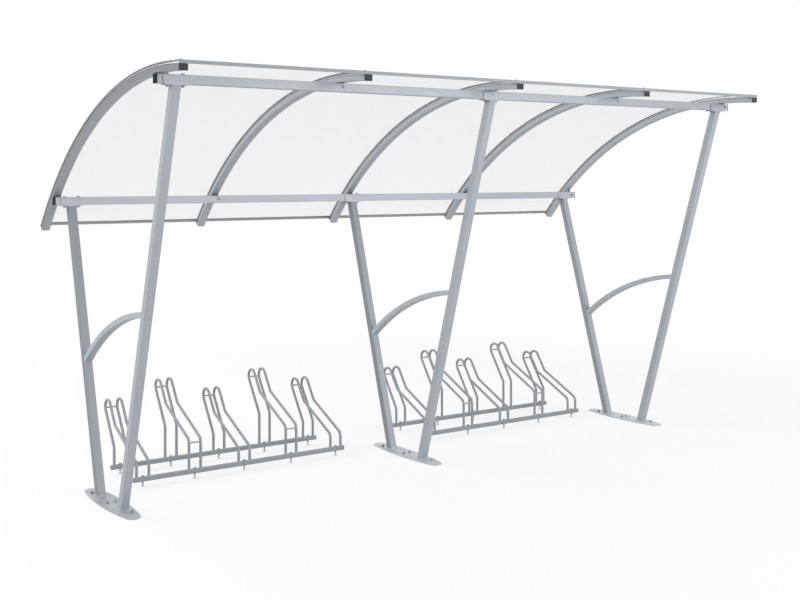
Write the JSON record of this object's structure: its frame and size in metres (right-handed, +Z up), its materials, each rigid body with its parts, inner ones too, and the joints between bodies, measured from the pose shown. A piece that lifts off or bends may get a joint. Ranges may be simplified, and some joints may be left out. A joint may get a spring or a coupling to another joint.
{
  "type": "bike shelter",
  "caption": "Open bike shelter: V-shaped steel frames carry two rails and curved ribs with a curved clear plastic roof over low-high wheel racks.",
  "frame": {"origin": "on the ground, at the middle of the middle base plate's underside", "axes": "+X along the shelter to the right as seen from the front, +Y to the rear where the roof comes down, +Z up"},
  "size_m": [4.424, 2.1898, 2.4916],
  "materials": {
    "galvanised_steel": "hot-dip galvanised, dull blue-grey",
    "dark_steel": "dark coated steel",
    "aluminium": "mill finish, satin",
    "black_plastic": "moulded black plastic",
    "grey_plastic": "moulded light grey plastic",
    "black_rubber": "black weather seal",
    "clear_sheet": "clear multiwall polycarbonate with fine flutes"
  },
  "bodies": {
    "root": {"base_plate_left": "galvanised_steel", "front_post_left": "galvanised_steel", "rear_post_left": "galvanised_steel", "brace_left": "galvanised_steel", "base_plate_middle": "galvanised_steel", "front_post_middle": "galvanised_steel", "rear_post_middle": "galvanised_steel", "brace_middle": "galvanised_steel", "base_plate_right": "galvanised_steel", "front_post_right": "galvanised_steel", "rear_post_right": "galvanised_steel", "brace_right": "galvanised_steel", "front_cradles": "galvanised_steel", "rear_cradles": "galvanised_steel", "front_rail": "galvanised_steel", "rear_rail": "galvanised_steel", "rail_caps": "black_plastic", "roof_rib_1": "galvanised_steel", "roof_rib_2": "galvanised_steel", "roof_rib_3": "galvanised_steel", "roof_rib_4": "galvanised_steel", "roof_rib_5": "galvanised_steel", "rib_front_caps": "black_plastic", "rib_rear_caps": "grey_plastic", "front_cleats": "dark_steel", "rear_cleats": "dark_steel", "roof_sheet_1": "clear_sheet", "roof_sheet_2": "clear_sheet", "roof_sheet_3": "clear_sheet", "roof_sheet_4": "clear_sheet", "glazing_gaskets": "black_rubber", "clamp_strips": "aluminium", "front_edge_angle": "aluminium", "rear_edge_profiles": "aluminium", "rack_left_bars": "galvanised_steel", "rack_left_place_1": "galvanised_steel", "rack_left_place_2": "galvanised_steel", "rack_left_place_3": "galvanised_steel", "rack_left_place_4": "galvanised_steel", "rack_left_place_5": "galvanised_steel", "rack_right_bars": "galvanised_steel", "rack_right_place_1": "galvanised_steel", "rack_right_place_2": "galvanised_steel", "rack_right_place_3": "galvanised_steel", "rack_right_place_4": "galvanised_steel", "rack_right_place_5": "galvanised_steel"}
  },
  "joints": []
}
